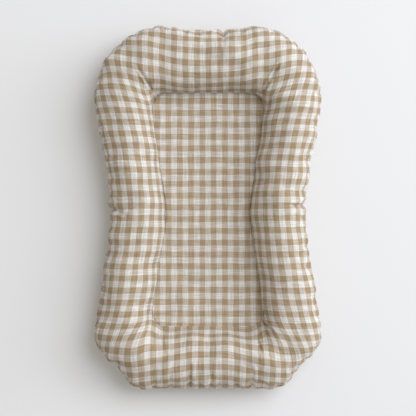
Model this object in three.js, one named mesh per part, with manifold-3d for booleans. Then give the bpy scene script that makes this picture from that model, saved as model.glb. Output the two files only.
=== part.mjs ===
// An infant lounger: a stuffed bolster sewn in a ring around a thin suspended centre, inside a
// zip-off gingham cover. Millimetres, +Z up, +Y towards the head end, origin on the floor under
// the middle. The cover and the cotton casing are thin shells in two halves that meet at the
// outer seam, the fibre filling is four batts, and the zip runs under the foot end.
import * as THREE from "three";
import { mergeVertices } from "three/addons/utils/BufferGeometryUtils.js";
import Module from "manifold-3d";

const wasm = await Module();
wasm.setup();

// Overall size
const loungerLength = 737;
const loungerWidth = 460;
const loungerHeight = 100;

// Centre panel: the flat part that the infant lies on
const panelLength = 478;
const panelWidth = 230;
const panelShift = 4; // how far the panel's middle lies towards the foot
const panelSag = 6;
const innerSeamHeight = 40;
const outerSeamHeight = 55;

// Cloth and sewing
const coverThickness = 1.2;
const casingThickness = 0.8;
const clothGap = 0.3; // between layers that touch
const rimEase = 1; // how much deeper the hidden layers' inner edges lie, behind the cover's lean
const waistOverhang = 15; // how far the side bolsters lean over the panel at the waist
const endOverhang = 3;
const puckerDepth = 11; // the deepest one, at the head
const puckerReach = 14; // half the width of a pucker, along the outer seam
const cornerCreaseDepth = 8;
const battGap = 0.6;

// Zip
const zipEndMargin = 12; // from each end of the foot's straight run to the zip's slot
const slotWidth = 19.8;
const tapeTail = 4.8; // how far the tapes run on past the stops
const tapeThickness = 0.8;
const toothPitch = 4;
const toothDepth = 0.9;
const rowWidth = 2;
const rowThickness = 2;
const rowChannel = 1.2; // the running gap that lets the slider's post pass
const zipClearance = 0.3;
const stopLength = 2.6;
const stopOverrun = 0.4; // how much thicker and wider than the teeth a stop is

// Slider and its pull
const sliderLength = 14;
const sliderFlare = 1.2; // how much wider each side of the slider is than its tail
const plateThickness = 1.2;
const flangeWidth = 1.2;
const postThickness = 0.7;
const postLength = 3;
const bailWidth = 1.6;
const bailLength = 8;
const bailBar = 1.2;
const bailOpening = 2.4;
const pullLength = 24;
const pullWidth = 7.4;
const pullThickness = 1.2;
const pullArm = 1.3;
const pullWindow = 5.6; // from the hinge axis to the window's far end
const pullEyeRadius = 1.5;
const hingeRadius = 0.5;
const hingeSides = 12;
const curveSteps = 8;
const cutOverrun = 4; // how far a cutting tool runs past what it cuts

// Half of the ring, from beside the head's middle round the right side to beside the foot's
// middle. Each row is a station: its outer point as shares of half the overall width and
// length, its inner seam point as shares of half the panel's width and length, and its shares
// of the corner crease, of a pucker on the right side and of a pucker on the left side.
const stationShares = [
  [0.135, 0.98, 0.25, 1, 0, 1, 0],
  [0.3, 0.99, 0.52, 1, 0, 0, 0],
  [0.46, 1, 0.76, 0.995, 0, 0, 0],
  [0.68, 0.95, 0.92, 0.965, 0, 0, 0],
  [0.86, 0.855, 0.985, 0.91, 1, 0, 0],
  [0.96, 0.735, 1, 0.84, 0, 0, 0],
  [1, 0.595, 1, 0.72, 0, 0, 0],
  [0.955, 0.4, 0.98, 0.52, 0, 0, 0],
  [0.9, 0.21, 0.94, 0.28, 0, 0, 0],
  [0.862, 0.015, 0.9, 0.03, 0, 0.8, 0.8],
  [0.875, -0.16, 0.905, -0.2, 0, 0, 0],
  [0.918, -0.335, 0.945, -0.44, 0, 0, 0],
  [0.965, -0.52, 0.985, -0.68, 0, 0, 0],
  [1, -0.715, 1, -0.86, 0, 0, 0],
  [0.93, -0.81, 0.985, -0.93, 0, 0, 0],
  [0.81, -0.885, 0.94, -0.97, 1, 0, 0],
  [0.72, -0.955, 0.88, -0.99, 0, 0, 0],
  [0.6, -1, 0.8, -1, 0, 0, 0],
  [0.45, -1, 0.68, -1, 0, 0.7, 0],
  [0.28, -1, 0.5, -1, 0, 0, 0],
  [0.12, -1, 0.235, -1, 0, 0, 0.7],
];

// The bolster's section from the inner seam over the crown to the outer seam. Each row is a
// share of the bolster's width, a share of the overhang, a share of the height, a share of a
// pucker's depth and a share of a corner crease's depth. The casing and the filling, which
// don't show, follow only the rows that end in true.
const seamWidthShare = 0.968;
const innerSeamShare = innerSeamHeight / loungerHeight;
const outerSeamShare = outerSeamHeight / loungerHeight;
const topShares = [
  [0, 0, innerSeamShare, 0, 0, true],
  [0, 0.85, 0.53, 0, 0.2, false],
  [0.02, 0.95, 0.68, 0, 0.6, true],
  [0.12, 0.5, 0.845, 0, 0.9, false],
  [0.26, 0.12, 0.95, 0, 1, true],
  [0.42, 0, 0.995, 0.03, 0.8, true],
  [0.57, 0, 1, 0.08, 0.4, true],
  [0.72, 0, 0.965, 0.2, 0.1, false],
  [0.86, 0, 0.875, 0.5, 0, true],
  [0.948, 0, 0.73, 0.85, 0, false],
  [seamWidthShare, 0, outerSeamShare, 1, 0, true],
];
// The same from the outer seam down under the bolster to the inner seam. The stretch from the
// third row to the fourth is the flat that takes the zip, and the next flat lies on the floor.
const underShares = [
  [seamWidthShare, 0, outerSeamShare, 1, 0, true],
  [1, 0, 0.47, 0.4, 0, false],
  [0.985, 0, 0.4, 0, 0, true],
  [0.885, 0, 0.2, 0, 0, true],
  [0.8, 0, 0.07, 0, 0, false],
  [0.7, 0, 0, 0, 0, true],
  [0.3, 0, 0, 0, 0, true],
  [0.15, 0, 0.07, 0, 0, false],
  [0.05, 0, 0.18, 0, 0, true],
  [0, 0, 0.27, 0, 0, false],
  [0, 0, innerSeamShare, 0, 0, true],
];
const allRows = (shares) => shares.map((_, i) => i);
const plainRows = (shares) => allRows(shares).filter((i) => shares[i].at(-1));
const bulgeRow = underShares.findIndex(([width]) => width === 1);
const zipUpperRow = bulgeRow + 1;
const zipLowerRow = bulgeRow + 2;

// The foot's straight run reaches the last station that lies on the end line
const [straightEnd] = stationShares.find((row) => row[1] === -1);
const slotLength = straightEnd * loungerWidth - 2 * zipEndMargin;
const tapeLength = slotLength - 2 * clothGap;
const chainLength = tapeLength - 2 * (tapeTail + stopLength + clothGap);

// Depths of the layers under the cover's face, and heights of the flat layers at their edge
const casingDepth = coverThickness + clothGap;
const fillDepth = casingDepth + casingThickness + clothGap;
const centrePanelTop = innerSeamHeight - clothGap;
const centrePanelUnder = centrePanelTop - coverThickness;
const slingTopTop = centrePanelUnder - clothGap;
const slingTopUnder = slingTopTop - casingThickness;
const slingUnderTop = slingTopUnder - clothGap;
const slingUnderUnder = slingUnderTop - casingThickness;
const underPanelTop = slingUnderUnder - clothGap;
const underPanelUnder = underPanelTop - coverThickness;
const underRimHeight = underPanelUnder - clothGap;

const sliderInnerHalf = rowThickness / 2 + zipClearance; // from the tape's mid-plane to a plate
const sliderOuterHalf = sliderInnerHalf + plateThickness;
// How much further in the casing lies behind the zip, so that the slider has room to run
const zipRecess = coverThickness / 2 + sliderOuterHalf + zipClearance - casingDepth + clothGap;

const colours = {
  gingham: 0xcdc0ac,
  cotton: 0xebe5d8,
  fibre: 0xf6f5f1,
  tape: 0xc4b69c,
  teeth: 0xb3a386,
  slider: 0xa99a7e,
};

const material = (colour, roughness, metalness = 0) =>
  new THREE.MeshStandardMaterial({ color: colour, roughness, metalness });
const gingham = () => material(colours.gingham, 0.95);
const cotton = () => material(colours.cotton, 0.95);
const fibre = () => material(colours.fibre, 1);

function part(name, geometry, finish) {
  const made = new THREE.Mesh(geometry, finish);
  made.name = name;
  return made;
}

// Geometry from a list of points and triangles of point numbers.
function meshOf(points, triangles) {
  const geometry = new THREE.BufferGeometry();
  geometry.setAttribute(
    "position",
    new THREE.Float32BufferAttribute(points.flatMap((p) => [p.x, p.y, p.z]), 3),
  );
  geometry.setIndex(triangles.flat());
  return geometry;
}

function solidOf(geometry) {
  const bare = geometry.clone();
  for (const extra of Object.keys(bare.attributes)) {
    if (extra !== "position") bare.deleteAttribute(extra);
  }
  const merged = mergeVertices(bare, 1e-4);
  return new wasm.Manifold(
    new wasm.Mesh({
      numProp: 3,
      vertProperties: merged.attributes.position.array,
      triVerts: new Uint32Array(merged.index.array),
    }),
  );
}

function geometryOf(solid) {
  const mesh = solid.getMesh();
  const geometry = new THREE.BufferGeometry();
  geometry.setAttribute("position", new THREE.Float32BufferAttribute(mesh.vertProperties, 3));
  geometry.setIndex(Array.from(mesh.triVerts));
  return geometry;
}

// A station of the ring: where its section starts, which way it runs, how wide it is, and how
// much of each sewn form it takes.
function station(outer, inner, inZip, drawIn = 0, crease = 0) {
  const run = outer.clone().sub(inner);
  const sideShare = Math.min(1, Math.abs(inner.y + panelShift) / (panelLength / 2));
  const waistShare = Math.cos((sideShare * Math.PI) / 2) ** 2;
  return {
    outer,
    inner,
    width: run.length(),
    direction: run.normalize(),
    overhang: endOverhang + (waistOverhang - endOverhang) * waistShare,
    drawIn,
    crease,
    inZip,
  };
}

function rowStation(row, side) {
  const [outerX, outerY, innerX, innerY, crease, right, left] = stationShares[row];
  return station(
    new THREE.Vector2((side * outerX * loungerWidth) / 2, (outerY * loungerLength) / 2),
    new THREE.Vector2(
      (side * innerX * panelWidth) / 2,
      (innerY * panelLength) / 2 - panelShift,
    ),
    outerY === -1,
    (side > 0 ? right : left) * puckerDepth,
    crease * cornerCreaseDepth,
  );
}

// A plain station a little way from one station towards its neighbour.
function beside(from, towards, reach) {
  const share = reach / from.outer.distanceTo(towards.outer);
  return station(
    from.outer.clone().lerp(towards.outer, share),
    from.inner.clone().lerp(towards.inner, share),
    from.inZip && towards.inZip,
  );
}

// All the stations, clockwise from the head as seen from above, with a close pair at each
// pucker. The filling's batts end at the corner creases.
function ringStations() {
  const right = allRows(stationShares).map((row) => rowStation(row, 1));
  const left = allRows(stationShares).map((row) => rowStation(row, -1));
  const places = [...right, ...left.reverse()];
  const made = [];
  const battEnds = [];
  places.forEach((here, i) => {
    const previous = places[(i + places.length - 1) % places.length];
    const next = places[(i + 1) % places.length];
    if (here.drawIn) made.push(beside(here, previous, puckerReach));
    if (here.crease) battEnds.push(made.length);
    made.push(here);
    if (here.drawIn) made.push(beside(here, next, puckerReach));
  });
  return { stations: made, battEnds };
}

// One side of a station's section at a depth under the cover's face, as points in space. The
// two end points move level, so that a layer ends in a level rim at the given heights.
function sectionLine(at, rows, depth, rimStart, rimEnd, recess = 0) {
  const flat = rows.map(([width, over, height, pucker, crease]) => ({
    out: width * at.width - over * at.overhang - pucker * at.drawIn,
    up: height * loungerHeight - crease * at.crease,
  }));
  return flat.map((point, i) => {
    const last = i === flat.length - 1;
    let out = point.out;
    let up = point.up;
    if (i === 0 || last) {
      const atInnerSeam = (i === 0) === (rows === topShares);
      out += atInnerSeam ? depth + (depth < casingDepth ? 0 : rimEase) : -depth;
      up = i === 0 ? rimStart : rimEnd;
    } else {
      const before = flat[i - 1];
      const after = flat[i + 1];
      const normal = new THREE.Vector2(before.up - after.up, after.out - before.out).normalize();
      const onZip = rows === underShares && (i === zipUpperRow || i === zipLowerRow);
      const full = depth + (onZip && at.inZip ? recess : 0);
      out -= normal.x * full;
      up -= normal.y * full;
    }
    return new THREE.Vector3(
      at.inner.x + at.direction.x * out,
      at.inner.y + at.direction.y * out,
      up,
    );
  });
}

// A ring or a stretch of ring from one closed section per station. From a given point of the
// section on, it runs back under its own face and its quads are split the other way, so that
// layers which lie against each other fold along the same lines.
function sweep(sections, closed, turnsBack = sections[0].length) {
  const count = sections[0].length;
  const points = sections.flat();
  const triangles = [];
  const spans = closed ? sections.length : sections.length - 1;
  for (let s = 0; s < spans; s += 1) {
    const next = (s + 1) % sections.length;
    for (let i = 0; i < count; i += 1) {
      const j = (i + 1) % count;
      const [a, b] = [s * count + i, s * count + j];
      const [c, d] = [next * count + j, next * count + i];
      if (i < turnsBack) triangles.push([a, c, b], [a, d, c]);
      else triangles.push([a, d, b], [b, d, c]);
    }
  }
  if (!closed) {
    const flat = (section) => {
      const along = section[Math.floor(count / 2)].clone().sub(section[0]).setZ(0).normalize();
      return section.map((p) => new THREE.Vector2(p.dot(along), p.z));
    };
    const first = THREE.ShapeUtils.triangulateShape(flat(sections[0]), []);
    const end = THREE.ShapeUtils.triangulateShape(flat(sections.at(-1)), []);
    const shift = (sections.length - 1) * count;
    triangles.push(...first.map(([a, b, c]) => [a, c, b]));
    triangles.push(...end.map(([a, b, c]) => [a + shift, b + shift, c + shift]));
  }
  return meshOf(points, triangles);
}

const pick = (line, rows) => rows.map((row) => line[row]);
const { stations, battEnds } = ringStations();

// A half shell of the ring: its face and its back, joined at the two rims.
function shellRing(rows, kept, outerDepth, thickness, rimStart, rimEnd, recess = 0) {
  const sections = stations.map((at) => {
    const face = pick(sectionLine(at, rows, outerDepth, rimStart, rimEnd, recess), kept);
    const back = pick(
      sectionLine(at, rows, outerDepth + thickness, rimStart, rimEnd, recess),
      kept,
    );
    return [...face, ...back.reverse()];
  });
  return sweep(sections, true, kept.length);
}

// A flat layer of the centre, with its edge at a depth behind the ring's inner face.
function panelSheet(depth, topHeight, thickness) {
  const middle = new THREE.Vector2(0, -panelShift);
  const midRingShare = 0.55;
  const midSagShare = 0.8;
  const edge = stations.map((at) => at.inner.clone().addScaledVector(at.direction, depth));
  const level = (share, sagShare, under) =>
    edge.map((p) => {
      const flat = middle.clone().lerp(p, share);
      return new THREE.Vector3(flat.x, flat.y, topHeight - under - sagShare * panelSag);
    });
  const points = [
    ...level(1, 0, 0),
    ...level(midRingShare, midSagShare, 0),
    new THREE.Vector3(middle.x, middle.y, topHeight - panelSag),
    ...level(1, 0, thickness),
    ...level(midRingShare, midSagShare, thickness),
    new THREE.Vector3(middle.x, middle.y, topHeight - thickness - panelSag),
  ];
  const n = edge.length;
  const under = 2 * n + 1;
  const triangles = [];
  for (let i = 0; i < n; i += 1) {
    const j = (i + 1) % n;
    triangles.push([i, j + n, j], [i, i + n, j + n], [i + n, 2 * n, j + n]);
    triangles.push([under + i, under + j, under + j + n], [under + i, under + j + n, under + i + n]);
    triangles.push([under + i + n, under + j + n, under + 2 * n]);
    triangles.push([i, j, under + j], [i, under + j, under + i]);
  }
  return meshOf(points, triangles);
}

// One batt of filling, from one corner station to another.
function batt(from, to) {
  const span = (to - from + stations.length) % stations.length;
  const sections = [];
  for (let i = 0; i <= span; i += 1) {
    const at = stations[(from + i) % stations.length];
    const top = sectionLine(at, topShares, fillDepth, centrePanelUnder, outerSeamHeight);
    const under = sectionLine(
      at,
      underShares,
      fillDepth,
      outerSeamHeight,
      slingUnderUnder,
      zipRecess,
    );
    sections.push([
      ...pick(top, plainRows(topShares)),
      ...pick(under, plainRows(underShares)).slice(1),
    ]);
  }
  // The two ends draw back a little from the neighbouring batts
  const drawBack = (end, next) =>
    end.map((p, i) => p.clone().lerp(next[i], battGap / 2 / p.distanceTo(next[i])));
  sections[0] = drawBack(sections[0], sections[1]);
  sections[span] = drawBack(sections[span], sections[span - 1]);
  return sweep(sections, false);
}

// The zip's own frame: x along the zip, y up the slope of the cover, z out of the cover.
function zipFrame() {
  const last = stationShares.length - 1;
  const right = rowStation(last, 1);
  const middle = beside(right, rowStation(last, -1), right.outer.x);
  const line = sectionLine(middle, underShares, 0, outerSeamHeight, underRimHeight);
  const upper = line[zipUpperRow];
  const lower = line[zipLowerRow];
  const along = new THREE.Vector3(1, 0, 0);
  const upSlope = upper.clone().sub(lower).normalize();
  const out = along.clone().cross(upSlope);
  const frame = new THREE.Group();
  frame.position.copy(upper).add(lower).multiplyScalar(0.5);
  frame.position.addScaledVector(out, -coverThickness / 2);
  frame.quaternion.setFromRotationMatrix(
    new THREE.Matrix4().makeBasis(along, upSlope, out),
  );
  frame.updateMatrixWorld(true);
  return frame;
}

const block = (x, y, z, atX = 0, atY = 0, atZ = 0) =>
  new THREE.BoxGeometry(x, y, z).translate(atX, atY, atZ);

const outline = (pairs) => new THREE.Shape(pairs.map(([x, y]) => new THREE.Vector2(x, y)));

const plate = (shape, depth, atZ) =>
  new THREE.ExtrudeGeometry(shape, {
    depth,
    bevelEnabled: false,
    curveSegments: curveSteps,
  }).translate(0, 0, atZ);

function coverUnderRing(frame) {
  const ring = solidOf(
    shellRing(
      underShares,
      allRows(underShares),
      0,
      coverThickness,
      outerSeamHeight - clothGap / 2,
      underRimHeight,
    ),
  );
  const slot = block(slotLength, slotWidth, cutOverrun).applyMatrix4(frame.matrixWorld);
  return geometryOf(ring.subtract(solidOf(slot)));
}

// One row of teeth, above or below the zip's centre line.
function teethRow(side) {
  const inner = rowChannel / 2;
  const root = inner + toothDepth;
  const back = inner + rowWidth;
  const teeth = Math.floor(chainLength / toothPitch);
  const shift = side > 0 ? 0 : 1;
  const points = [[-chainLength / 2, side * back]];
  for (let i = 0; i <= 2 * teeth; i += 1) {
    const depth = (i + shift) % 2 === 0 ? inner : root;
    points.push([(-teeth * toothPitch) / 2 + (i * toothPitch) / 2, side * depth]);
  }
  points.push([chainLength / 2, side * back]);
  return plate(outline(points), rowThickness, -rowThickness / 2);
}

function tape(side) {
  const inner = rowChannel / 2 + rowWidth + clothGap;
  const outer = slotWidth / 2 - clothGap;
  return block(
    tapeLength,
    outer - inner,
    tapeThickness,
    0,
    (side * (outer + inner)) / 2,
    0,
  );
}

function slider() {
  const nose = sliderLength / 2;
  const flangeInner = rowChannel / 2 + rowWidth + zipClearance;
  const tail = flangeInner + flangeWidth;
  const wide = tail + sliderFlare;
  const shield = outline([
    [-nose, -tail],
    [0, -wide],
    [nose - sliderFlare, -wide],
    [nose, -tail],
    [nose, tail],
    [nose - sliderFlare, wide],
    [0, wide],
    [-nose, tail],
  ]);
  const flangeHeight = sliderInnerHalf - tapeThickness / 2 - zipClearance;
  const flangeY = flangeInner + flangeWidth / 2;
  const pieces = [
    plate(shield, plateThickness, sliderInnerHalf),
    plate(shield, plateThickness, -sliderOuterHalf),
    block(postLength, postThickness, 2 * sliderInnerHalf + plateThickness, nose - postLength),
  ];
  for (const side of [-1, 1]) {
    for (const face of [-1, 1]) {
      pieces.push(
        block(
          sliderLength,
          flangeWidth,
          flangeHeight + plateThickness / 2,
          0,
          side * flangeY,
          (face * (2 * sliderInnerHalf - flangeHeight + plateThickness / 2)) / 2,
        ),
      );
    }
  }
  const foot = sliderOuterHalf - plateThickness / 2;
  const crown = sliderOuterHalf + bailOpening + bailBar;
  const half = bailLength / 2;
  const arch = outline([
    [-half, foot],
    [half, foot],
    [half, crown - bailBar],
    [half - bailBar, crown],
    [-half + bailBar, crown],
    [-half, crown - bailBar],
  ]);
  const bail = new THREE.ExtrudeGeometry(arch, { depth: bailWidth, bevelEnabled: false })
    .rotateX(Math.PI / 2)
    .translate(0, bailWidth / 2, 0);
  const opening = block(
    bailLength - 2 * bailBar,
    bailWidth + cutOverrun,
    bailOpening,
    0,
    0,
    sliderOuterHalf + bailOpening / 2,
  );
  const loop = solidOf(bail).subtract(solidOf(opening));
  return geometryOf(
    pieces.map(solidOf).reduce((whole, piece) => whole.add(piece), loop),
  );
}

// The pull lies along -x from its hinge, with its window round the slider's bail.
function pull() {
  const half = pullWidth / 2;
  const root = pullThickness / 2;
  const taper = half - pullArm / 2;
  const tab = outline([
    [root, -half + root],
    [root, half - root],
    [0, half],
    [-pullLength / 2, taper],
    [-pullLength + half / 2, taper],
    [-pullLength, taper / 2],
    [-pullLength, -taper / 2],
    [-pullLength + half / 2, -taper],
    [-pullLength / 2, -taper],
    [0, -half],
  ]);
  const eye = new THREE.Path();
  eye.absarc(-pullLength + 2 * pullEyeRadius, 0, pullEyeRadius, 0, 2 * Math.PI, true);
  tab.holes.push(eye);
  const window = block(
    pullWindow + root + cutOverrun,
    pullWidth - 2 * pullArm,
    pullThickness + cutOverrun,
    (root + cutOverrun - pullWindow) / 2,
  );
  const bar = new THREE.CylinderGeometry(
    hingeRadius,
    hingeRadius,
    pullWidth - pullArm,
    hingeSides,
  );
  return geometryOf(
    solidOf(plate(tab, pullThickness, -root))
      .subtract(solidOf(window))
      .add(solidOf(bar)),
  );
}

function zipAssembly(frame) {
  const tapeFinish = () => material(colours.tape, 0.9);
  const teethFinish = () => material(colours.teeth, 0.5);
  const sliderFinish = () => material(colours.slider, 0.45);
  const stopThickness = rowThickness + stopOverrun;
  const stopX = chainLength / 2 + clothGap + stopLength / 2;
  const rowMiddle = (rowChannel + rowWidth) / 2;
  const closedX = (chainLength - sliderLength) / 2; // the slider stops against the top stops
  frame.add(
    part("zip_tape_upper", tape(1), tapeFinish()),
    part("zip_tape_lower", tape(-1), tapeFinish()),
    part("zip_teeth_upper", teethRow(1), teethFinish()),
    part("zip_teeth_lower", teethRow(-1), teethFinish()),
    part(
      "zip_top_stop_upper",
      block(stopLength, rowWidth, stopThickness, stopX, rowMiddle),
      sliderFinish(),
    ),
    part(
      "zip_top_stop_lower",
      block(stopLength, rowWidth, stopThickness, stopX, -rowMiddle),
      sliderFinish(),
    ),
    part(
      "zip_bottom_stop",
      block(stopLength, rowChannel + 2 * rowWidth, stopThickness, -stopX),
      sliderFinish(),
    ),
  );
  const running = new THREE.Group();
  running.position.x = closedX;
  running.add(part("zip_slider", slider(), sliderFinish()));
  const pullMesh = part("zip_pull", pull(), sliderFinish());
  pullMesh.position.z = sliderOuterHalf + bailOpening / 2;
  running.add(pullMesh);
  frame.add(running);
}

const lounger = new THREE.Group();
const zip = zipFrame();

lounger.add(
  part(
    "cover_top_ring",
    shellRing(
      topShares,
      allRows(topShares),
      0,
      coverThickness,
      innerSeamHeight,
      outerSeamHeight + clothGap / 2,
    ),
    gingham(),
  ),
  part("cover_centre_panel", panelSheet(clothGap, centrePanelTop, coverThickness), gingham()),
  part("cover_under_ring", coverUnderRing(zip), gingham()),
  part("cover_under_panel", panelSheet(clothGap, underPanelTop, coverThickness), gingham()),
  part(
    "casing_top_ring",
    shellRing(
      topShares,
      plainRows(topShares),
      casingDepth,
      casingThickness,
      centrePanelUnder,
      outerSeamHeight + clothGap / 2,
    ),
    cotton(),
  ),
  part(
    "casing_under_ring",
    shellRing(
      underShares,
      plainRows(underShares),
      casingDepth,
      casingThickness,
      outerSeamHeight - clothGap / 2,
      underPanelTop,
      zipRecess,
    ),
    cotton(),
  ),
  part(
    "casing_sling_top",
    panelSheet(casingDepth + rimEase, slingTopTop, casingThickness),
    cotton(),
  ),
  part(
    "casing_sling_under",
    panelSheet(casingDepth + rimEase, slingUnderTop, casingThickness),
    cotton(),
  ),
);

const [headRight, footRight, footLeft, headLeft] = battEnds;
lounger.add(
  part("fill_right", batt(headRight, footRight), fibre()),
  part("fill_foot", batt(footRight, footLeft), fibre()),
  part("fill_left", batt(footLeft, headLeft), fibre()),
  part("fill_head", batt(headLeft, headRight), fibre()),
);

zipAssembly(zip);
lounger.add(zip);

export default lounger;
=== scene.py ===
import math

import bmesh
import bpy
import numpy as np
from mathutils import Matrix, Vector


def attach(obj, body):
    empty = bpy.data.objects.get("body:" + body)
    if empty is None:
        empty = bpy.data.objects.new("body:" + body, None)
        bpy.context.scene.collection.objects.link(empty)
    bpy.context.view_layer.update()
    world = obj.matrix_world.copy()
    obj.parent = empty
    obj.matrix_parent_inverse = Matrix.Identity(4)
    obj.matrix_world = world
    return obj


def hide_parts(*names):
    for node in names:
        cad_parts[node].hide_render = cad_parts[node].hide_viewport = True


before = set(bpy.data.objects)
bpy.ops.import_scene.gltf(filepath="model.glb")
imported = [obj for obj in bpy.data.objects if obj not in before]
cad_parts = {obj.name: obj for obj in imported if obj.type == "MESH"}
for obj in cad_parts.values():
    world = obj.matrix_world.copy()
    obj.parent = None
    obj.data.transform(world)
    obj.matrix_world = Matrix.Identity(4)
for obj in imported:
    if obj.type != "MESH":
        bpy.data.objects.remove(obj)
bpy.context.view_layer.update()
scene = bpy.context.scene
mm = 0.001


def linear(hexColour):
    channels = [int(hexColour[i : i + 2], 16) / 255 for i in (1, 3, 5)]
    return [c / 12.92 if c <= 0.04045 else ((c + 0.055) / 1.055) ** 2.4 for c in channels] + [1]


def addNode(tree, kind, inputs=None, **settings):
    # an input is a value, a socket, or a node that gives its first output
    made = tree.nodes.new("ShaderNode" + kind)
    for name, value in settings.items():
        setattr(made, name, value)
    for socket, value in (inputs or {}).items():
        if isinstance(value, bpy.types.Node):
            value = value.outputs[0]
        if isinstance(value, bpy.types.NodeSocket):
            tree.links.new(value, made.inputs[socket])
        else:
            made.inputs[socket].default_value = value
    return made


def newMaterial(name, colour, roughness, **sockets):
    material = bpy.data.materials.new(name)
    material.use_nodes = True
    tree = material.node_tree
    shader = tree.nodes["Principled BSDF"]
    shader.inputs["Base Color"].default_value = linear(colour)
    shader.inputs["Roughness"].default_value = roughness
    for socket, value in sockets.items():
        shader.inputs[socket.replace("_", " ")].default_value = value
    return material, tree, shader


view = {
    "height": 2255,  # above the floor, straight over the middle
    "lookAt": (0, -1.4),
    "lens": 93.8,
    "sensor": 36,
}


def makeCamera():
    camera = bpy.data.objects.new("camera", bpy.data.cameras.new("camera"))
    scene.collection.objects.link(camera)
    camera.data.lens = view["lens"]
    camera.data.sensor_width = view["sensor"]
    camera.location = [c * mm for c in (*view["lookAt"], view["height"])]
    scene.camera = camera
    scene.view_settings.view_transform = "Standard"


studio = {
    "floorColour": "#E6E6E8",
    "floorRoughness": 0.9,
    "floorSize": 12000,
    "lampColour": "#F0F5FC",  # a little cool, so that the shadows are the warmer part
    "lamps": [
        # name, place, size, power: a high soft key, and a low one that models the bolsters
        ("key", (3400, 2600, 5200), 5400, 318),
        ("side", (5200, 1000, 2000), 3500, 141),
    ],
    "fillStrength": 0.52,
    "fillColour": "#FAF5EB",
    "backdrop": "#EDEDEF",
}


def makeFloor():
    half = studio["floorSize"] / 2 * mm
    mesh = bpy.data.meshes.new("floor")
    corners = [(-half, -half, 0), (half, -half, 0), (half, half, 0), (-half, half, 0)]
    mesh.from_pydata(corners, [], [(0, 1, 2, 3)])
    floor = bpy.data.objects.new("floor", mesh)
    scene.collection.objects.link(floor)
    # Matt emulsion: no gloss, so the floor only takes the soft shadow
    look = studio["floorColour"], studio["floorRoughness"]
    mesh.materials.append(newMaterial("floor_matt_emulsion", *look)[0])


def makeLight():
    for name, place, size, power in studio["lamps"]:
        lamp = bpy.data.lights.new(name, "AREA")
        lamp.shape = "DISK"
        lamp.size = size * mm
        lamp.energy = power
        lamp.color = linear(studio["lampColour"])[:3]
        stand = bpy.data.objects.new(name, lamp)
        stand.location = [c * mm for c in place]
        stand.rotation_euler = (-Vector(stand.location)).to_track_quat("-Z", "Y").to_euler()
        scene.collection.objects.link(stand)
    world = bpy.data.worlds.new("studio")
    scene.world = world
    world.use_nodes = True
    tree = world.node_tree
    sky = tree.nodes["Background"]
    sky.inputs["Color"].default_value = linear(studio["fillColour"])
    sky.inputs["Strength"].default_value = studio["fillStrength"]
    # The camera, gloss and glass see a paler backdrop than the one that lights the object
    backdrop = addNode(tree, "Background", {"Color": linear(studio["backdrop"])})
    rays = addNode(tree, "LightPath").outputs
    seen = rays["Is Camera Ray"]
    for name in ("Is Glossy Ray", "Is Transmission Ray"):
        seen = addNode(tree, "Math", {0: seen, 1: rays[name]}, operation="MAXIMUM")
    mixed = addNode(tree, "MixShader", {0: seen, 1: sky, 2: backdrop})
    tree.links.new(mixed.outputs[0], tree.nodes["World Output"].inputs["Surface"])


makeCamera()
makeFloor()
makeLight()
print("camera, floor and light made")

gingham = {
    "white": "#D8D4CF",
    # the ring's tan is a little darker than the panel's: painted shade, to deepen the bolsters'
    # tones
    "ringShadedTan": "#9F8A6D",
    "panelTan": "#A69175",
    "roughness": 0.92,
    "checkAcross": 23.1,  # from one tan stripe to the next
    "checkAlong": 24.15,
    "threadsPerCheck": 24,  # real cloth has about 60: drawn coarser, so that the weave shows
    "edge": 0.28,  # how far a stripe's edge fades
    "crossing": 1.4,  # above 1 the yarn beneath still shows a little where two cross
    "wander": 3.0,  # how far the yarns stray from straight
    "wanderLength": 50,
    "streak": (40, 2),  # length and width of a darker stretch of yarn
    "streakNoise": (0.78, 1.22),  # two noises added, from the dark end to the light one
    "streakTone": (0.78, 1.16),
    "halfTone": 0.82,  # below 1 the half-and-half squares lean towards tan, as the yarns do
    "relief": 0.4,
    "reliefStrength": 0.35,
}


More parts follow.
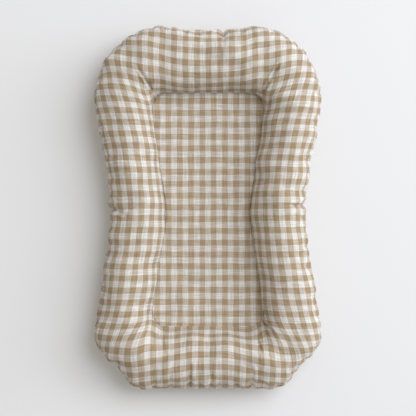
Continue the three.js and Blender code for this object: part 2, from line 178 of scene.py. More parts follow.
def wovenCheck(name, tan, acrossPhase, alongPhase):
    # Yarn-dyed cotton, plain woven and matt: white, tan and half-and-half squares, where the
    # half-and-half ones show white and tan yarns crossing, and slubs that streak the tan
    finish = {"Specular_IOR_Level": 0.25, "Sheen_Weight": 0.15, "Sheen_Roughness": 0.5}
    material, tree, shader = newMaterial(name, gingham["white"], gingham["roughness"], **finish)
    cloth = addNode(tree, "Attribute", attribute_name="cloth").outputs["Vector"]
    wander = {"Vector": cloth, "Scale": 1 / gingham["wanderLength"], "Detail": 2}
    noise = addNode(tree, "TexNoise", wander).outputs["Color"]
    half = (0.5, 0.5, 0.5)
    centred = addNode(tree, "VectorMath", {0: noise, 1: half}, operation="SUBTRACT")
    reach = {0: centred, "Scale": gingham["wander"]}
    strayed = addNode(tree, "VectorMath", reach, operation="SCALE")
    place = addNode(tree, "VectorMath", {0: cloth, 1: strayed}, operation="ADD")
    axes = addNode(tree, "SeparateXYZ", {0: place}).outputs

    def stripe(axis, period, phase):
        # 1 on the dyed yarns and 0 on the white ones
        shift = {0: axis, 1: 1 / period, 2: 0.5 - phase / period}
        turns = addNode(tree, "Math", shift, operation="MULTIPLY_ADD")
        part = addNode(tree, "Math", {0: turns}, operation="FRACT")
        off = addNode(tree, "Math", {0: part, 1: 0.5}, operation="SUBTRACT")
        away = addNode(tree, "Math", {0: off}, operation="ABSOLUTE")
        fade = gingham["edge"] / period
        limits = {"Value": away, "From Min": 0.25 - fade, "From Max": 0.25 + fade}
        limits |= {"To Min": 1, "To Max": 0}
        return addNode(tree, "MapRange", limits, interpolation_type="SMOOTHSTEP")

    def wave(axis, period):
        # up and down once for every two threads
        rate = math.pi * gingham["threadsPerCheck"] / period
        turns = addNode(tree, "Math", {0: axis, 1: rate}, operation="MULTIPLY")
        return addNode(tree, "Math", {0: turns}, operation="SINE")

    warp = stripe(axes["X"], gingham["checkAcross"], acrossPhase)
    weft = stripe(axes["Y"], gingham["checkAlong"], alongPhase)
    waves = {0: wave(axes["X"], gingham["checkAcross"]), 1: wave(axes["Y"], gingham["checkAlong"])}
    crossing = addNode(tree, "Math", waves, operation="MULTIPLY")
    limits = {"From Min": -gingham["crossing"], "From Max": gingham["crossing"]}
    over = addNode(tree, "MapRange", {"Value": crossing} | limits)
    yarn = addNode(tree, "Mix", {0: over, 2: warp, 3: weft}, data_type="FLOAT")
    dyed = addNode(tree, "Math", {0: yarn, 1: gingham["halfTone"]}, operation="POWER")
    tones = {0: dyed, 6: linear(gingham["white"]), 7: linear(tan)}
    colour = addNode(tree, "Mix", tones, data_type="RGBA").outputs[2]
    slow, quick = [1 / size for size in gingham["streak"]]
    slubs = []
    for rates in ((quick, slow, 0), (slow, quick, 0)):
        stretched = addNode(tree, "VectorMath", {0: place, 1: rates}, operation="MULTIPLY")
        slubs.append(addNode(tree, "TexNoise", {"Vector": stretched, "Scale": 1, "Detail": 3}))
    slub = addNode(tree, "Math", {0: slubs[0], 1: slubs[1]}, operation="ADD")
    (low, high), (dark, light) = gingham["streakNoise"], gingham["streakTone"]
    limits = {"From Min": low, "From Max": high, "To Min": dark, "To Max": light}
    shade = addNode(tree, "MapRange", {"Value": slub} | limits)
    toned = addNode(tree, "VectorMath", {0: colour, "Scale": shade}, operation="SCALE")
    tree.links.new(toned.outputs[0], shader.inputs["Base Color"])
    raised = addNode(tree, "Math", {0: crossing}, operation="ABSOLUTE")
    relief = {"Strength": gingham["reliefStrength"], "Distance": gingham["relief"] * mm}
    bump = addNode(tree, "Bump", {"Height": raised} | relief)
    tree.links.new(bump.outputs[0], shader.inputs["Normal"])
    return material


plain = {
    "noise": (0.3, 0.7),  # between its darkest flecks and the full colour
    "weaveStrength": 0.4,
    "grainStrength": 0.5,
}


def flecked(tree, shader, colour, grain, contrast, relief):
    # darkens the colour where the grain is low, and lays the relief over the surface
    low, high = plain["noise"]
    limits = {"From Min": low, "From Max": high, "To Min": 1 - contrast, "To Max": 1}
    tone = addNode(tree, "MapRange", {"Value": grain} | limits)
    scaled = {0: linear(colour)[:3], "Scale": tone}
    toned = addNode(tree, "VectorMath", scaled, operation="SCALE")
    tree.links.new(toned.outputs[0], shader.inputs["Base Color"])
    bump = addNode(tree, "Bump", relief)
    tree.links.new(bump.outputs[0], shader.inputs["Normal"])


def wovenPlain(name, colour, roughness, thread, fleck, depth, contrast, sheen=0.1):
    # Plain weave in one colour: yarns crossing under and over, thread apart, with cloudy flecks
    finish = {"Specular_IOR_Level": 0.3, "Sheen_Weight": sheen}
    material, tree, shader = newMaterial(name, colour, roughness, **finish)
    place = addNode(tree, "TexCoord").outputs["Object"]
    axes = addNode(tree, "SeparateXYZ", {0: place}).outputs
    waves = []
    for axis in "XYZ":
        rate = {0: axes[axis], 1: math.pi / (thread * mm)}
        turns = addNode(tree, "Math", rate, operation="MULTIPLY")
        waves.append(addNode(tree, "Math", {0: turns}, operation="SINE"))
    crossed = addNode(tree, "Math", {0: waves[0], 1: waves[1]}, operation="MULTIPLY")
    raised = addNode(tree, "Math", {0: crossed, 1: waves[2]}, operation="ADD")
    clouds = {"Vector": place, "Scale": 1 / (fleck * mm), "Detail": 4}
    grain = addNode(tree, "TexNoise", clouds)
    relief = {"Height": raised, "Strength": plain["weaveStrength"]}
    relief["Distance"] = depth * mm
    flecked(tree, shader, colour, grain, contrast, relief)
    return material


def grained(name, colour, roughness, size, depth, contrast, **sockets):
    # A surface with a fine random grain: fibre clumps, moulding texture or lacquer over casting
    material, tree, shader = newMaterial(name, colour, roughness, **sockets)
    place = addNode(tree, "TexCoord").outputs["Object"]
    grains = {"Vector": place, "Scale": 1 / (size * mm), "Detail": 5}
    grain = addNode(tree, "TexNoise", grains)
    relief = {"Height": grain, "Strength": plain["grainStrength"]}
    relief["Distance"] = depth * mm
    flecked(tree, shader, colour, grain, contrast, relief)
    return material


# The ring's copy of the cloth takes the darker tan, painted shade on the bolsters; the panel's copy
# takes the lighter one
shadedRingGingham = wovenCheck(
    "gingham_ring_shaded_woven_cotton", gingham["ringShadedTan"], acrossPhase=1.3, alongPhase=3.0
)
panelGingham = wovenCheck(
    "gingham_panel_woven_cotton", gingham["panelTan"], acrossPhase=11.5, alongPhase=0.0
)
# Unbleached calico: creamy, dry and matt, with darker flecks of seed husk
casingCotton = wovenPlain(
    "casing_woven_calico", "#EBE5D8", 0.95, thread=1.4, fleck=16.7, depth=0.25, contrast=0.06
)
# Carded polyester wadding: white and clumped, with a faint lustre from the fibres
fibreWadding = grained(
    "filling_carded_polyester", "#F4F3F0", 1.0, size=11.1, depth=2.5, contrast=0.12, Sheen_Weight=0.4
)
# Woven polyester zip tape: tighter and smoother than the cover, with a slight lustre
zipTapeWoven = wovenPlain(
    "zip_tape_woven_polyester",
    "#C4B69C",
    0.7,
    thread=0.9,
    fleck=16.7,
    depth=0.15,
    contrast=0.08,
    sheen=0.3,
)
# Injection-moulded acetal teeth: smooth, satin and a little waxy
zipTeethMoulded = grained(
    "zip_teeth_moulded_acetal", "#B3A386", 0.42, size=2.5, depth=0.03, contrast=0.05, Coat_Weight=0.1
)
# Die-cast zinc under baked lacquer: satin, with soft highlights along its edges
zipSliderLacquered = grained(
    "zip_slider_lacquered_zinc",
    "#A99A7E",
    0.35,
    size=1.43,
    depth=0.02,
    contrast=0.05,
    Metallic=0.35,
    Coat_Weight=0.4,
)
# Spun polyester sewing thread: fine, with a slight shine
threadSpun = grained(
    "thread_spun_polyester", "#D9D0C0", 0.6, size=1.11, depth=0.05, contrast=0.1, Sheen_Weight=0.2
)
print("materials made")

ring = {
    "length": 737,
    "width": 460,
    "height": 100,
    "panelLength": 478,
    "panelWidth": 230,
    "panelShift": 4,  # how far the panel's middle lies towards the foot
    "waistOverhang": 15,  # how far the bolster leans over the panel at the waist
    "endOverhang": 1,
    "waistPower": 1.3,  # the higher, the shorter the waist
    "headGentle": 0.15,  # share of the foot's gentle profile that the head has
    "panelFace": 39.7,
    "sag": 6,  # of the panel's middle
    "lift": 0.3,  # of the bolster's cloth over the panel's
    "cover": 1.2,  # thickness of the cover's cloth
    "columns": 480,
    "topRows": 40,
    "underRows": 26,
    "stationSteps": 40,  # points from one station to the next
    "profileSteps": 24,
    "crown": 0.5,  # share of the bolster's width
    "usual": (122, 8),  # width and overhang of the section that the rows are spaced on
    "bunch": 0.25,  # how much closer together the rows lie near both seams, up to 0.5
}

# Half of the ring, clockwise from the head: outer point and inner seam point as shares, how
# far the cloth at the crown lies out over the plan, and how far the grain is off, right and left
ringStations = [
    (0.135, 0.989, 0.25, 1, 29.3, 0, 0),
    (0.3, 0.996, 0.52, 1, 26.4, 0, 0),
    (0.46, 1, 0.76, 0.995, 18.8, 0, 0),
    (0.68, 0.95, 0.92, 0.965, 14.8, 0, 0),
    (0.86, 0.855, 0.985, 0.91, 11.4, 0, 0),
    (0.96, 0.735, 1, 0.84, 16.5, 0, 0),
    (1, 0.595, 1, 0.72, 25.7, 0, 0),
    (0.955, 0.4, 0.98, 0.52, 37.5, 0, 0),
    (0.9, 0.21, 0.94, 0.28, 45.8, 0, 0),
    (0.862, 0.015, 0.9, 0.03, 49.9, 0, 0),
    (0.875, -0.16, 0.905, -0.2, 45.5, 0, 0),
    (0.918, -0.335, 0.945, -0.44, 38.5, 0, 0),
    (0.965, -0.52, 0.985, -0.68, 29.8, 0, 0),
    (1, -0.715, 1, -0.86, 17, 0, 0),
    (0.93, -0.81, 0.985, -0.93, 6.5, -2, 0),
    (0.81, -0.885, 0.94, -0.97, 1, -7, -1.5),
    (0.72, -0.955, 0.88, -0.99, 0.8, -11, -3),
    (0.6, -1, 0.8, -1, 3, -12.6, -4.6),
    (0.45, -1, 0.68, -1, 7, -11.6, -5.6),
    (0.28, -1, 0.5, -1, 13, -10.5, -6.3),
    (0.12, -1, 0.235, -1, 17, -9.4, -7.8),
]

# The section: shares of the bolster's width, of the overhang and of the height
topProfile = [
    (0, 0, 0.4),
    (0, 0.45, 0.396),
    (0, 0.85, 0.394),
    (0, 0.985, 0.403),
    (0, 1, 0.432),
    (0.004, 0.97, 0.49),
    (0.018, 0.87, 0.59),
    (0.05, 0.66, 0.705),
    (0.107, 0.41, 0.825),
    (0.19, 0.18, 0.915),
    (0.3, 0.04, 0.972),
    (0.44, 0, 0.998),
    (0.57, 0, 1),
    (0.71, 0, 0.965),
    (0.86, 0, 0.862),
    (0.943, 0, 0.735),
    (0.981, 0, 0.6),
]
# The same at the foot, where the cloth leaves the panel almost flat
gentleProfile = [
    (0, 0, 0.4),
    (0.008, 0, 0.403),
    (0.018, 0, 0.4025),
    (0.035, 0, 0.412),
    (0.065, 0, 0.45),
    (0.105, 0, 0.53),
    (0.155, 0, 0.64),
    (0.215, 0, 0.755),
    (0.29, 0, 0.865),
    (0.39, 0, 0.945),
    (0.5, 0, 0.965),
    (0.62, 0, 0.93),
    (0.74, 0, 0.865),
    (0.85, 0, 0.775),
    (0.93, 0, 0.685),
    (0.981, 0, 0.6),
]
underProfile = [
    (0.981, 0, 0.6),
    (0.998, 0, 0.56),
    (1, 0, 0.48),
    (0.985, 0, 0.4),
    (0.935, 0, 0.3),
    (0.885, 0, 0.2),
    (0.8, 0, 0.07),
    (0.7, 0, 0),
    (0.5, 0, 0),
    (0.3, 0, 0),
    (0.15, 0, 0.07),
    (0.05, 0, 0.18),
    (0, 0, 0.27),
    (0, 0, 0.345),
]


def smoothCurve(points, perSpan, closed):
    points = np.array(points, float)
    if closed:
        p0, p1, p2, p3 = (np.roll(points, s, 0) for s in (1, 0, -1, -2))
    else:
        before, after = 2 * points[:1] - points[1:2], 2 * points[-1:] - points[-2:-1]
        ends = np.concatenate([before, points, after])
        p0, p1, p2, p3 = ends[:-3], ends[1:-2], ends[2:-1], ends[3:]
    t = (np.arange(perSpan) / perSpan).reshape(1, -1, *[1] * (points.ndim - 1))
    p0, p1, p2, p3 = (p[:, None] for p in (p0, p1, p2, p3))
    straight = 2 * p1 + (p2 - p0) * t
    bend = (2 * p0 - 5 * p1 + 4 * p2 - p3) * t**2 + (3 * p1 - p0 - 3 * p2 + p3) * t**3
    curve = (0.5 * (straight + bend)).reshape(-1, *points.shape[1:])
    return curve if closed else np.concatenate([curve, points[-1:]])


def smoothStep(value, low, high):
    t = np.clip((value - low) / (high - low), 0, 1)
    return t * t * (3 - 2 * t)


def ringColumns():
    # places round the ring, spaced evenly along its outer edge
    half = np.array(ringStations)
    x, y = ring["width"] / 2, ring["length"] / 2
    panelX, panelY = ring["panelWidth"] / 2, ring["panelLength"] / 2
    right = half[:, :6] * [x, y, panelX, panelY, 1, 1]
    left = half[::-1][:, [0, 1, 2, 3, 4, 6]] * [-x, y, -panelX, panelY, 1, 1]
    stations = np.vstack([right, left])
    stations[:, 3] -= ring["panelShift"]
    fine = smoothCurve(stations, ring["stationSteps"], True)
    steps = np.linalg.norm(np.roll(fine[:, :2], -1, 0) - fine[:, :2], axis=1)
    along = np.concatenate([[0], np.cumsum(steps)])
    wanted = np.arange(ring["columns"]) / ring["columns"] * along[-1]
    looped = np.vstack([fine, fine[:1]])
    found = np.column_stack([np.interp(wanted, along, looped[:, i]) for i in range(6)])
    return found[:, :2], found[:, 2:4], found[:, 4], found[:, 5], wanted, along[-1]


outer, inner, lead, grain, around, perimeter = ringColumns()
widths = np.linalg.norm(outer - inner, axis=1)
outward = (outer - inner) / widths[:, None]
halfPanel = ring["panelLength"] / 2
fromMiddle = np.minimum(1, np.abs(inner[:, 1] + ring["panelShift"]) / halfPanel)
waistShare = np.cos(fromMiddle * math.pi / 2) ** ring["waistPower"]
footShare = np.clip(-outward[:, 1], 0, 1) ** 2
headShare = np.clip(outward[:, 1], 0, 1) ** 2
overhang = ring["endOverhang"] + (ring["waistOverhang"] - ring["endOverhang"]) * waistShare
gentle = footShare + ring["headGentle"] * headShare


def sectionRows(profile, count):
    # rows along the section, closer together near both seams
    fine = smoothCurve(profile, ring["profileSteps"], False)
    width, lean = ring["usual"]
    flat = np.column_stack([fine[:, 0] * width - fine[:, 1] * lean, fine[:, 2] * ring["height"]])
    along = np.concatenate([[0], np.cumsum(np.linalg.norm(np.diff(flat, axis=0), axis=1))])
    t, bunch = np.linspace(0, 1, count), ring["bunch"]
    wanted = ((1 - 2 * bunch) * t + bunch - bunch * np.cos(math.pi * t)) * along[-1]
    return np.column_stack([np.interp(wanted, along, fine[:, i]) for i in range(3)])


def sectionGrid(rows, gentleRows):
    shape = rows[:, None] + (gentleRows - rows)[:, None] * gentle[None, :, None]
    out = shape[..., 0] * widths[None] - shape[..., 1] * overhang[None]
    plan = inner[None] + outward[None] * out[..., None]
    return np.dstack([plan, shape[..., 2] * ring["height"]]), out


def arcAlong(grid):
    steps = np.linalg.norm(np.diff(grid, axis=0), axis=2)
    return np.vstack([np.zeros(grid.shape[1]), np.cumsum(steps, 0)])


flatCut = {
    # shares of the extra length over the bolster that the flat-cut cloth has
    "ease": 0.97,
    "cornerLoss": 0.17,
    "footCornerLoss": 0.16,  # more at the foot's corners, inside the crown
}


def clothPlace(arc, out, crown):
    # where each point lies on the flat cut: the plan, plus the cloth that the rise takes up
    lean = outward**3  # the power keeps the grain along the sides and turns it at the corners
    lean /= np.linalg.norm(lean, axis=1)[:, None]
    corner = (2 * outward[:, 0] * outward[:, 1]) ** 2
    ease = (flatCut["ease"] - flatCut["cornerLoss"] * corner)[None].repeat(len(arc), 0)
    ease[:crown] -= flatCut["footCornerLoss"] * corner * (outward[:, 1] < 0)
    plan = inner[None] + outward[None] * out[..., None]
    spare = (arc - arc[crown]) * ease - (out - out[crown]) + lead[None]
    flat = plan + lean[None] * spare[..., None]
    flat[..., 0] += grain[None]
    return np.dstack([flat, np.zeros(out.shape)])


topRows = sectionRows(topProfile, ring["topRows"])
underRows = sectionRows(underProfile, ring["underRows"])
topGrid, topOut = sectionGrid(topRows, sectionRows(gentleProfile, ring["topRows"]))
underGrid, underOut = sectionGrid(underRows, underRows)
topArc, underArc = arcAlong(topGrid), arcAlong(underGrid)
topCrown = int(np.argmin(np.abs(topRows[:, 0] - ring["crown"])))
topCloth = clothPlace(topArc, topOut, topCrown)
underCloth = clothPlace(underArc[-1:] - underArc, underOut, len(underRows) // 2)


def surfaceNormal(grid):
    down = np.gradient(grid, axis=0)
    across = np.roll(grid, -1, 1) - np.roll(grid, 1, 1)
    normal = np.cross(down, across)
    return normal / (np.linalg.norm(normal, axis=2)[..., None] + 1e-9)


zipPlace = {
    "middle": (0, -359.834, 30.319),
    "upSlope": (0, -0.53152, 0.84705),
    "outward": (0, -0.84705, -0.53152),
    "slotLength": 252,
    "slotWidth": 19.8,
    # the flat round the slot: its margin and fade at the ends, then from and to where it
    # fades beside the slot and off its plane
    "flatMargin": 2,
    "flatFade": 14,
    "sideFade": (3, 9),
    "depthFade": (12, 20),
    "cutDepth": 6,  # how far off the flat the cover is still cut
    "cutSpare": 8,  # and how far round the slot its faces are split
}
zipMiddle = np.array(zipPlace["middle"])
zipAxes = np.array([(1, 0, 0), zipPlace["upSlope"], zipPlace["outward"]])


def zipFlat(grid):
    # 1 on the flat that takes the zip, falling to 0 around it; also each point's zip place
    place = (grid - zipMiddle) @ zipAxes.T
    end = zipPlace["slotLength"] / 2 + zipPlace["flatMargin"]
    edge = zipPlace["slotWidth"] / 2
    near, far = zipPlace["sideFade"]
    endways = 1 - smoothStep(np.abs(place[..., 0]), end, end + zipPlace["flatFade"])
    sideways = 1 - smoothStep(np.abs(place[..., 1]), edge + near, edge + far)
    depthways = 1 - smoothStep(np.abs(place[..., 2]), *zipPlace["depthFade"])
    return endways * sideways * depthways, place


def pressFlat(grid):
    share, place = zipFlat(grid)
    lift = (ring["cover"] / 2 - place[..., 2]) * share
    return grid + lift[..., None] * zipAxes[2]


swelling = {
    "seed": 11,
    "start": 0.3,  # random unevenness, so that folds have somewhere to begin
    "pressure": 4,
    "frames": 20,
    "quality": 6,
    "mass": 0.3,
    "tension": 15,
    "shear": 5,
    "bending": 2.5,
    "ease": -0.034,  # extra length of cloth, taken up beside the outer seam
    "easeReach": 20,
    "easeStart": (1, 10),
    "easeLevels": 10,
    "cap": 4,  # no point moves further than this
    "floorHold": 1.5,  # cloth below this height is held
    "flatHold": 0.3,  # and so is the zip's flat, where it is flatter than this
}


def swell(grid, held, easeShares):
    # inflates the stuffed ring as cloth, with spare length beside the outer seam
    rows, columns = grid.shape[:2]
    rng = np.random.default_rng(swelling["seed"])
    uneven = rng.uniform(-swelling["start"], swelling["start"], (rows, columns, 1))
    start = grid + surfaceNormal(grid) * uneven
    mesh = bpy.data.meshes.new("swelling")
    mesh.from_pydata((start.reshape(-1, 3) * mm).tolist(), [], gridFaces(rows, columns).tolist())
    piece = bpy.data.objects.new("swelling", mesh)
    scene.collection.objects.link(piece)
    pinGroup = piece.vertex_groups.new(name="pinned")
    steady = piece.vertex_groups.new(name="steady")
    pinGroup.add(np.flatnonzero(held.ravel()).tolist(), 1, "REPLACE")
    count = swelling["easeLevels"]
    levels = np.round((1 - easeShares.ravel()) * count) / count
    for level in np.unique(levels):
        steady.add(np.flatnonzero(levels == level).tolist(), float(level), "REPLACE")
    cloth = piece.modifiers.new("cloth", "CLOTH")
    settings = cloth.settings
    settings.vertex_group_mass = "pinned"
    settings.quality = swelling["quality"]
    settings.mass = swelling["mass"]
    settings.tension_stiffness = settings.compression_stiffness = swelling["tension"]
    settings.shear_stiffness = swelling["shear"]
    settings.bending_stiffness = swelling["bending"]
    settings.use_pressure = True
    settings.uniform_pressure_force = swelling["pressure"]
    settings.effector_weights.gravity = 0
    settings.vertex_group_shrink = "steady"
    settings.shrink_min = swelling["ease"]
    settings.shrink_max = 0
    cloth.collision_settings.use_collision = False
    cloth.point_cache.frame_end = swelling["frames"]
    for step in range(1, swelling["frames"] + 1):
        scene.frame_set(step)
    shaped = piece.evaluated_get(bpy.context.evaluated_depsgraph_get()).data
    moved = np.empty(len(shaped.vertices) * 3, np.float32)
    shaped.vertices.foreach_get("co", moved)
    scene.frame_set(1)
    bpy.data.objects.remove(piece)
    bpy.data.meshes.remove(mesh)
    shift = moved.reshape(rows, columns, 3).astype(float) / mm - grid
    far = np.linalg.norm(shift, axis=2)[..., None]
    most, mean = round(float(far.max()), 1), round(float(far.mean()), 1)
    print("swelling moved the cloth up to", most, "mm, mean", mean)
    return grid + shift * np.minimum(1, swelling["cap"] / np.maximum(far, 1e-6))


def gridFaces(rows, columns):
    r, c = np.meshgrid(np.arange(rows - 1), np.arange(columns), indexing="ij")
    n = (c + 1) % columns
    corners = [r * columns + c, r * columns + n, (r + 1) * columns + n, (r + 1) * columns + c]
    return np.stack(corners, -1).reshape(-1, 4)


def easeShare(fromSeam):
    fading = np.exp(-((fromSeam / swelling["easeReach"]) ** 2))
    return fading * smoothStep(fromSeam, *swelling["easeStart"])


topFromSeam, underFromSeam = topArc[-1:] - topArc, underArc
whole = np.vstack([topGrid, underGrid[1:]])
wholeEase = easeShare(np.vstack([topFromSeam, underFromSeam[1:]]))
pinned = np.zeros(whole.shape[:2], bool)
pinned[: int(np.argmax(topRows[:, 1])) + 1] = pinned[-2:] = True
pinned |= whole[..., 2] < swelling["floorHold"]
pinned |= zipFlat(whole)[0] > swelling["flatHold"]
whole = pressFlat(whole)
whole = swell(whole, pinned, wholeEase)
print("ring swelled as cloth")
whole = pressFlat(whole)
topGrid, underGrid = whole[: len(topGrid)], whole[len(topGrid) - 1 :]


def inwardOf(grid, seam, way):
    # how far each point leans in over the panel, as a negative length
    return np.minimum(((grid[..., :2] - seam[None]) * way[None]).sum(2), 0)


leaning = inwardOf(topGrid, inner, outward)
panelDrop = ring["sag"] * (1 - (1 + leaning / (ring["panelWidth"] / 2)) ** 2)
lowest = ring["panelFace"] + ring["lift"] - panelDrop
topGrid[..., 2] = np.maximum(topGrid[..., 2], lowest)


def finer(grid):
    # twice the rows and columns, on smooth curves through the same points
    rows = smoothCurve(grid, 2, False)
    return smoothCurve(rows.swapaxes(0, 1), 2, True).swapaxes(0, 1)


puckers = {
    "seed": 7,
    "spacing": (27, 46),  # along the outer seam, from one to the next
    "depth": (0.9, 3.2),
    "reach": (6, 10),  # half the width of one
    "fade": 20,  # how far it runs in from the seam
    "fadePower": 1.3,
    "valley": (1.7, 1.15),  # rate and power of its fall on both sides
    "bulge": (0.25, 1.7, 0.7),  # share of the depth, place and half-width of what stands beside
    "dent": (0.5, 1.1, 10),  # shares of the depth and the fade, and how far in it is full
    "groove": 4.2,  # how deep the seam itself lies
    "grooveReach": 2.4,
    "deep": [
        # x, y, depth
        (33, 364, 6.5),
        (198, 4, 8.5),
        (-193, -3, 10),
        (91, -368, 5),
        (7, -368, 4),
        (-37, -368, 6),
        (-77, -368, 3),
    ],
    "deepReach": 6.5,
    "deepFade": 28,
    "clear": 18,  # the others keep this far off the deep ones
    "end": 20,  # once this near the start again, no more follow
    "floorFade": (0, 14),  # heights over which all this comes in, over the floor
    "panelFade": (44, 56),  # and over the panel
}
crease = {
    "window": (-0.25, 0.2),  # where along its run it starts and is full
    "windowEnd": (0.45, 1.15),  # and where it fades and ends
    "power": 1.1,
    "ridges": [(1.7, 0.5), (-1.7, 0.1)],  # place beside it, on its left first, and share
    "ridgeRate": 1.6,
    "runs": [
        # from x, y, to x, y, depth, half-width
        (112, 232, 146, 293, 5.5, 3),
        (-110, 234, -141, 279, 5, 3.2),
        (110, -233, 133, -250, 5, 3),
        (99, -266, 108, -292, 3.4, 3),
        (-116, -246, -131, -276, 1.2, 3.8),
        (-92, -264, -90, -290, 1.5, 3.2),
        (-164, -15, -192, -6, 4.5, 3.6),
        (168, 3, 194, 1, 4, 3.6),
        (88, -318, 91, -354, 2.4, 3.4),
        (8, -330, 7, -354, 2, 3.2),
        (-35, -314, -37, -354, 3, 3.4),
        (31, 318, 33, 350, 3, 3.4),
        (-178, -90, -205, -96, 1.6, 4),
        (178, -96, 203, -92, 1.6, 4),
        (-75, -330, -77, -354, 1.6, 3.6),
        (72, 326, 70, 348, 1.4, 4),
    ],
}
undulation = {"seed": 11, "count": 30, "length": (45, 150), "depth": 0.45, "seamFade": (0, 20)}


def apartRound(place, other):
    # the distance between two places on the outer seam, the shorter way round
    return np.abs((place - other + perimeter / 2) % perimeter - perimeter / 2)


def puckerList():
    rng = np.random.default_rng(puckers["seed"])
    made = []
    for x, y, depth in puckers["deep"]:
        nearest = np.argmin(np.hypot(outer[:, 0] - x, outer[:, 1] - y))
        made.append((around[nearest], depth, puckers["deepReach"], puckers["deepFade"]))
    deepPlaces = [pucker[0] for pucker in made]
    place = 0.0
    while place < perimeter - puckers["end"]:
        place += rng.uniform(*puckers["spacing"])
        depth = rng.uniform(*puckers["depth"])
        reach = rng.uniform(*puckers["reach"])
        if min(apartRound(place, deep) for deep in deepPlaces) > puckers["clear"]:
            made.append((place, depth, reach, puckers["fade"]))
    return made


puckerPlaces = puckerList()
fineAround = np.arange(2 * ring["columns"]) / (2 * ring["columns"]) * perimeter
fineOutward = smoothCurve(outward, 2, True)
fineOutward /= np.linalg.norm(fineOutward, axis=1)[:, None]


def puckered(fromSeam):
    # how far the puckers draw the cloth in, and how far they and the seam sink it
    drawn = np.zeros(fromSeam.shape)
    sunk = puckers["groove"] * np.exp(-((fromSeam / puckers["grooveReach"]) ** 2))
    rate, power = puckers["valley"]
    bulgeShare, bulgePlace, bulgeWidth = puckers["bulge"]
    dentShare, dentFade, dentStart = puckers["dent"]
    for place, depth, reach, fade in puckerPlaces:
        away = apartRound(fineAround, place) / reach
        valley = np.exp(-rate * away**power)[None]
        bulge = np.exp(-(((away - bulgePlace) / bulgeWidth) ** 2))[None]
        near = np.exp(-((fromSeam / fade) ** puckers["fadePower"]))
        drawn += depth * near * (valley - bulgeShare * bulge)
        dent = np.exp(-((fromSeam / fade / dentFade) ** puckers["fadePower"]))
        sunk += dentShare * depth * valley * dent * np.clip(fromSeam / dentStart, 0, 1)
    return drawn, sunk


def undulating(x, y):
    rng = np.random.default_rng(undulation["seed"])
    total = np.zeros(x.shape)
    for _ in range(undulation["count"]):
        turn, phase = rng.uniform(0, 2 * math.pi, 2)
        rate = 2 * math.pi / rng.uniform(*undulation["length"])
        total += np.sin((x * math.cos(turn) + y * math.sin(turn)) * rate + phase)
    return total * undulation["depth"]


def creased(x, y):
    total = np.zeros(x.shape)
    for x0, y0, x1, y1, depth, reach in crease["runs"]:
        run = math.hypot(x1 - x0, y1 - y0)
        ux, uy = (x1 - x0) / run, (y1 - y0) / run
        along = ((x - x0) * ux + (y - y0) * uy) / run
        side = ((y - y0) * ux - (x - x0) * uy) / reach
        window = smoothStep(along, *crease["window"])
        window = window * (1 - smoothStep(along, *crease["windowEnd"]))
        fold = np.exp(-np.abs(side) ** crease["power"])
        for place, share in crease["ridges"]:
            fold -= share * np.exp(-((side - place) ** 2) * crease["ridgeRate"])
        total += depth * window * fold
    return total


def outerNormal(grid, isTop):
    # the normals that point out of the bolster
    normal = surfaceNormal(grid)
    return normal * np.sign(normal[len(normal) // 2, :, 2].mean()) * (1 if isTop else -1)


def sewn(grid, fromSeam, isTop):
    # puckers along the seam, the seam's own groove, and on the top the creases and lumps
    normal = outerNormal(grid, isTop)
    drawn, sunk = puckered(fromSeam)
    x, y, z = grid[..., 0], grid[..., 1], grid[..., 2]
    sunk += undulating(x, y) * smoothStep(fromSeam, *undulation["seamFade"])
    if isTop:
        sunk += creased(x, y)
        drawnShare, sunkShare = 1, smoothStep(z, *puckers["panelFade"])
    else:
        drawnShare = sunkShare = (1 - zipFlat(grid)[0]) * smoothStep(z, *puckers["floorFade"])
    shaped = grid.copy()
    shaped[..., :2] -= fineOutward[None] * (drawn * drawnShare)[..., None]
    return shaped - normal * (sunk * sunkShare)[..., None], drawn + np.maximum(sunk, 0)


def addPiece(name, points, faces, material, cloth=None):
    mesh = bpy.data.meshes.new(name)
    mesh.from_pydata((np.asarray(points) * mm).tolist(), [], [list(map(int, f)) for f in faces])
    mesh.materials.append(material)
    mesh.shade_smooth()
    if cloth is not None:
        data = mesh.attributes.new("cloth", "FLOAT_VECTOR", "POINT")
        data.data.foreach_set("vector", np.asarray(cloth, np.float32).ravel())
    piece = bpy.data.objects.new(name, mesh)
    scene.collection.objects.link(piece)
    return piece


def facing(grid, upwards):
    # the grid's faces, wound so that they look up, or down
    faces = gridFaces(*grid.shape[:2])
    flat = grid.reshape(-1, 3)
    a, b, d = flat[faces[:, 0]], flat[faces[:, 1]], flat[faces[:, 3]]
    lift = np.cross(b - a, d - a)[:, 2].sum()
    return faces if (lift > 0) == upwards else faces[:, ::-1]


def tidyNormals(piece):
    mesh = bmesh.new()
    mesh.from_mesh(piece.data)
    bmesh.ops.recalc_face_normals(mesh, faces=mesh.faces[:])
    mesh.to_mesh(piece.data)
    mesh.free()


def thicken(piece, thickness):
    solid = piece.modifiers.new("thickness", "SOLIDIFY")
    solid.thickness = thickness * mm
    solid.offset = -1
    solid.use_even_offset = False


def dress(piece, node):
    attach(piece, "lounger")
    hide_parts(node)


